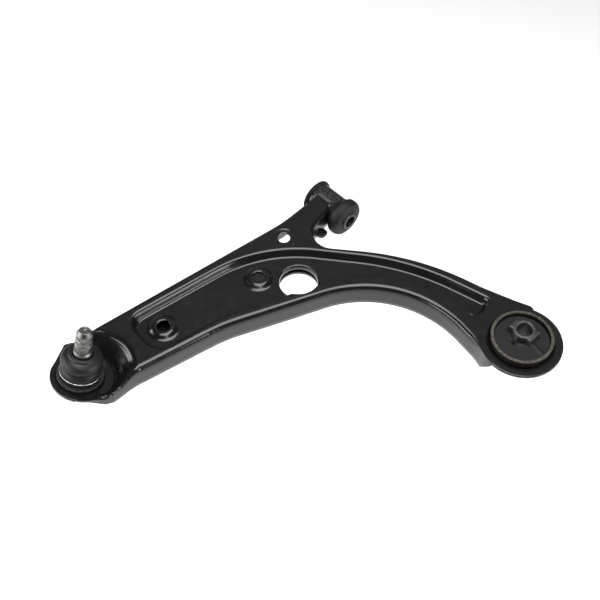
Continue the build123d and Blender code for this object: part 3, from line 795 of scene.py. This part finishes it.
def stud(steel):
    """Ball, tapered neck and stepped shank, with the centre mark of the lathe in its end."""
    sweep = np.linspace(0.65, 2.53, 30)
    ball = [(BALL_RADIUS * math.sin(a), BALL_CENTRE - BALL_RADIUS * math.cos(a)) for a in sweep]
    profile = [(0, ball[0][1]), (ball[0][0] - 0.3, ball[0][1])] + ball + [
        (5.2, 5.2, 0.6), (4.4, 20.5, 2.0), (7.4, 28.6, 0.8), (8.15, 31.0, 0.4), (8.1, 33.0, 0.5),
        (6.85, 34.3, 0.4), (6.85, 34.7, 0.3), (7.5, 36.0, 0.4), (7.5, 43.6, 0.3), (7.05, 44.2, 0.3),
        (7.2, 48.5, 0.5), (6.6, 49.6, 0.5), (6.95, 50.6, 0.4), (6.9, 54.5, 0.5), (5.1, 57.6, 0.5),
        (4.7, 58.3, 0.3), (4.0, 58.45, 0.2), (3.7, 58.1, 0.2), (1.5, 58.15, 0.2), (0, 57.2),
    ]
    mesh = spin_mesh(softened(profile), at_ball, 112)
    finished(mesh, "stud_with_ball", steel, "stud", "ball_stud", 40)


def front_rubber(rubber):
    """Ridged front flange, bonded sleeve and deep rear buffer of the front bush."""
    profile = [
        (8.65, -24.0), (12.2, -23.6, 0.6), (13.0, -23.2, 0.3), (13.4, -23.4, 0.2), (16.7, -22.8, 0.6),
        (17.4, -22.2, 0.4), (17.4, -21.8, 0.2), (16.5, -21.4, 0.2), (16.5, -21.2, 0.2), (17.4, -20.8, 0.2),
        (17.4, -20.4, 0.2), (16.6, -20.0, 0.2), (17.2, -19.6, 0.2), (16.6, -18.9, 0.2), (10.9, -18.9, 0.1),
        (10.9, 8.1, 0.1), (15.2, 8.1, 0.2), (15.6, 9.2, 0.5), (17.0, 11.4, 0.8), (18.7, 13.2, 0.8),
        (19.0, 15.0, 0.6), (19.0, 18.4, 0.8), (18.4, 20.4, 0.9), (17.2, 22.2, 0.5), (16.6, 22.5, 0.2),
        (16.2, 22.3, 0.2), (15.7, 22.7, 0.3), (12.0, 23.9, 0.8), (10.4, 24.0, 0.3), (10.0, 23.6, 0.2),
        (9.4, 24.0, 0.2), (8.65, 24.2, 0.1), (8.65, -24.0),
    ]
    mesh = spin_mesh(softened(profile), along_x, 112)
    finished(mesh, "front_bush_buffers", rubber, "arm", "front_bush_rubber", 50)


def core_reach(angle, gap=0.0):
    """Distance from the rear core's centre to its side: a bar with a round middle."""
    half_length, half_width = REAR_CORE_SIZE[0] / 2 + gap, REAR_CORE_SIZE[1] / 2 + gap
    across = half_length / max(abs(math.cos(angle)), 1e-6)
    along = half_width / max(abs(math.sin(angle)), 1e-6)
    return max(min(across, along), REAR_CORE_ROUND + gap)


def lofted(rows, ends=False):
    """Mesh through rows of points, each row joined to the next."""
    mesh = bmesh.new()
    made = [[mesh.verts.new(Vector(p) * MM) for p in row] for row in rows]
    for lower, upper in zip(made, made[1:]):
        for k in range(len(lower)):
            n = (k + 1) % len(lower)
            mesh.faces.new((lower[k], lower[n], upper[n], upper[k]))
    if ends:
        mesh.faces.new(made[0][::-1])
        mesh.faces.new(made[-1])
    return closed(mesh)


def rear_core(steel):
    """Cast core: a blunt bar with a round middle and a worn ring turned round its bore."""
    count = 144
    angles = [2 * math.pi * (k + 0.5) / count for k in range(count)]
    low, high = REAR_CORE_FOOT, REAR_CORE_TOP
    steps = [
        (None, -0.9, low), (None, 0.0, low + 0.9), (None, 0.0, high - 1.0), (None, -0.3, high - 0.45),
        (None, -1.0, high - 0.2), (9.7, 0, high - 0.2), (9.4, 0, high), (7.5, 0, high), (7.0, 0, high - 0.25),
        (6.6, 0, high - 0.8), (6.6, 0, low + 0.6), (7.2, 0, low), (None, -0.9, low),
    ]
    rows = []
    for radius, inset, z in steps:
        row = []
        for a in angles:
            r = radius if radius else max(core_reach(a) + inset, 9.8)
            row.append((REAR_CORE[0] + r * math.cos(a), REAR_CORE[1] + r * math.sin(a), z))
        rows.append(row)
    finished(lofted(rows), "rear_core_bar", steel, "rear_core", "rear_bush_core", 35)


def rear_rubber(rubber, sectors=12, columns=12):
    """Rubber between the core and the can, in sectors that stay in place in the frame."""
    for index in range(sectors):
        rows = [rubber_section(2 * math.pi * (index + k / columns) / sectors) for k in range(columns + 1)]
        mesh = lofted(rows, ends=True)
        name = f"rear_rubber_{index + 1:02d}"
        piece = finished(mesh, name, rubber, None, "rear_bush_rubber", 50)
        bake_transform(piece)


def can_reach(angle):
    """Distance from the core's centre to the inside of the can."""
    away = Vector(REAR_CORE) - Vector(REAR)
    aim = Vector((math.cos(angle), math.sin(angle)))
    half = away.dot(aim)
    return -half + math.sqrt(half**2 - away.length_squared + CAN_INSIDE**2)


def rubber_section(angle):
    """Closed section of the rubber at this angle about the core, as points of the frame."""
    inner, outer = core_reach(angle, 0.05), can_reach(angle)
    shares = [0.0, 0.03, 0.08, 0.14, 0.22, 0.3, 0.4, 0.5, 0.6, 0.7, 0.8, 0.9, 0.96, 1.0]
    section = []
    for share in shares:
        r = inner + (outer - inner) * share
        section.append((r, rubber_top(angle, r - inner, outer - r)))
    section += [(outer, 9.0), (outer, REAR_RUBBER_FOOT + 0.6)]
    for share in shares[-2:0:-2]:
        section.append((inner + (outer - inner) * share, REAR_RUBBER_FOOT + 1.2 * share * (1 - share)))
    section += [(inner, REAR_RUBBER_FOOT + 0.4), (inner, 9.0)]
    ca, sa = math.cos(angle), math.sin(angle)
    return [(REAR_CORE[0] + r * ca, REAR_CORE[1] + r * sa, z) for r, z in section]


def rubber_top(angle, from_core, from_can):
    """Height of the rubber's upper face: a fillet at core and can, a rib up each long side of the core."""
    top = REAR_RUBBER_TOP - 0.35
    top += 1.1 * math.exp(-from_core / 0.7) + 0.5 * math.exp(-from_can / 0.6)
    sideways = abs(from_core + core_reach(angle)) * abs(math.cos(angle))
    width = 1 - min(max((sideways - 1.5) / 0.7, 0), 1)
    reach = 1 - min(max((from_core - 2.6) / 0.9, 0), 1)
    rib = (REAR_CORE_TOP - 1.6 - REAR_RUBBER_TOP) * width * reach
    moulded = 0.5 * math.exp(-((math.degrees(angle) - 350) / 5) ** 2)
    return top + rib + moulded


def weld_bead(path, radius, ripple=1.5):
    """Rippled bead along a path of (point, outward) pairs, blunt at both ends."""
    rows = []
    length = 0.0
    last = len(path) - 1
    for i, (point, outward) in enumerate(path):
        if i:
            length += (point - path[i - 1][0]).length
        ahead = (path[min(i + 1, last)][0] - path[max(i - 1, 0)][0]).normalized()
        side = ahead.cross(outward).normalized()
        end = math.sqrt(max(1 - abs(2 * i / last - 1) ** 14, 0.02))
        wave = (length / ripple) % 1
        swell = radius * end * (0.9 + 0.16 * math.sqrt(1 - wave) + 0.05 * math.sin(length * 2.3))
        rows.append([
            point + (side * math.cos(a) * 1.25 + outward * math.sin(a)) * swell
            for a in np.linspace(0, 2 * math.pi, 18, endpoint=False)
        ])
    return lofted(rows, ends=True)


def eye_welds(coat):
    """Beads down both flanges of the neck and across its end."""
    for name, x in (("weld_front", -14.6), ("weld_rear", 4.6)):
        path = []
        for a in np.radians(np.linspace(24, 108, 110)):
            outward = Vector((0, -math.sin(a), math.cos(a)))
            path.append((Vector((x, 0, 0)) + outward * EYE_RADIUS, outward))
        finished(weld_bead(path, 1.75), name, coat, "arm", "eye_weld_beads", 60)
    outward = Vector((0, -0.25, 0.97)).normalized()
    path = [(Vector((x, -4.9, 14.4)), outward) for x in np.linspace(-13.5, 3.6, 80)]
    finished(weld_bead(path, 1.6), "weld_across", coat, "arm", "eye_weld_beads", 60)


def arm_pressing(coat):
    """The upper pressing, with its sheet's thickness below the outer skin."""
    shell = finished(pressing_mesh(), "arm_pressing", coat, "arm", "upper_shell", 50)
    sheet = shell.modifiers.new("sheet", "SOLIDIFY")
    sheet.thickness = SHEET * MM
    sheet.offset = -1
    sheet.use_even_offset = False


def main():
    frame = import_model()
    materials = {
        "black_coat": coat_paint("black_coat"),
        "weld": coat_paint("weld_coat", 0.02, 0.2),
        "zinc_steel": steel_paint("phosphated_steel", (0.08, 0.075, 0.065), 0.45, (0.03, 0.028, 0.024)),
        "bare_steel": steel_paint("turned_steel", lines=6.0),
        "dark_steel": coat_paint("black_phosphate", 0.01, 0.35),
        "spring_steel": steel_paint("spring_steel", (0.5, 0.5, 0.49), 0.26, (0.3, 0.3, 0.29)),
        "bush_rubber": rubber_paint("bush_rubber"),
        "boot_rubber": rubber_paint("boot_rubber", 0.0085, 0.45),
        "seat_plastic": rubber_paint("seat_plastic", 0.45, 0.5),
    }
    cast = steel_paint("sooty_steel", (0.075, 0.075, 0.075), 0.5, (0.035, 0.035, 0.036))
    slots = {part["node"]: part["material_slot"] for part in frame["record"]["subparts"]}
    for node, obj in frame["nodes"].items():
        obj.data.materials.clear()
        obj.data.materials.append(materials[slots[node]])
    for node in ("front_bush_sleeve", "ball_joint_circlip", "boot_upper_ring"):
        frame["nodes"][node].data.materials[0] = cast

    arm_pressing(materials["black_coat"])
    eye_welds(materials["weld"])
    front_rubber(materials["bush_rubber"])
    rear_rubber(materials["bush_rubber"])
    rear_core(cast)
    dust_boot(materials["boot_rubber"])
    stud(materials["bare_steel"])

    stage()


# ---- floor, light and camera ----------------------------------------------------------------------
def stage():
    """Pale floor, softboxes and the camera."""
    floor_mesh = bmesh.new()
    bmesh.ops.create_grid(floor_mesh, x_segments=24, y_segments=24, size=6)
    data = bpy.data.meshes.new("floor")
    floor_mesh.to_mesh(data)
    floor_mesh.free()
    floor = bpy.data.objects.new("floor", data)
    bpy.context.scene.collection.objects.link(floor)
    floor.location.z = -0.5
    paint = Paint("floor", Roughness=0.9, Specular_IOR_Level=0.1)
    paint.set("Base Color", paint.ramp(paint.noise(2, 2), [(0.0, 0.93), (1.0, 0.95)]))
    data.materials.append(paint.material)

    world = bpy.data.worlds.new("studio")
    bpy.context.scene.world = world
    world.use_nodes = True
    world.node_tree.nodes["Background"].inputs["Color"].default_value = (1, 1, 1, 1)
    world.node_tree.nodes["Background"].inputs["Strength"].default_value = 0.03

    softbox("overhead", (0.15, -0.1, 1.75), 1.5, 1.3, 48)
    softbox("fill", (-0.9, 1.3, 1.3), 2.6, 2.0, 5)
    softbox("right", (1.6, 0.45, 0.45), 1.3, 0.8, 26)
    softbox("left", (-0.75, -1.55, 0.5), 2.0, 0.9, 42)

    camera_data = bpy.data.cameras.new("camera")
    camera = bpy.data.objects.new("camera", camera_data)
    bpy.context.scene.collection.objects.link(camera)
    camera_data.lens = 55.2
    camera_data.clip_start, camera_data.clip_end = 0.01, 30
    look = Vector((-0.4208, 0.4096, -0.8094)).normalized()
    right = Vector((0.6943, 0.7197, 0.0032))
    up = right.cross(look).normalized()
    right = look.cross(up).normalized()
    turn = Matrix((right, up, -look)).transposed()
    camera.matrix_world = Matrix.Translation(Vector((0.4183, -0.4505, 0.6890))) @ turn.to_4x4()
    bpy.context.scene.camera = camera
    bpy.context.scene.view_settings.view_transform = "Standard"


def softbox(name, place, width, height, power):
    """Rectangular area light, in metres and watts, aimed at the middle of the arm."""
    light = bpy.data.lights.new(name, "AREA")
    light.shape = "RECTANGLE"
    light.size, light.size_y = width, height
    light.energy = power
    obj = bpy.data.objects.new(name, light)
    bpy.context.scene.collection.objects.link(obj)
    obj.location = place
    aim = Vector((0.08, -0.13, 0)) - Vector(place)
    obj.rotation_mode = "QUATERNION"
    obj.rotation_quaternion = aim.to_track_quat("-Z", "Y")


main()
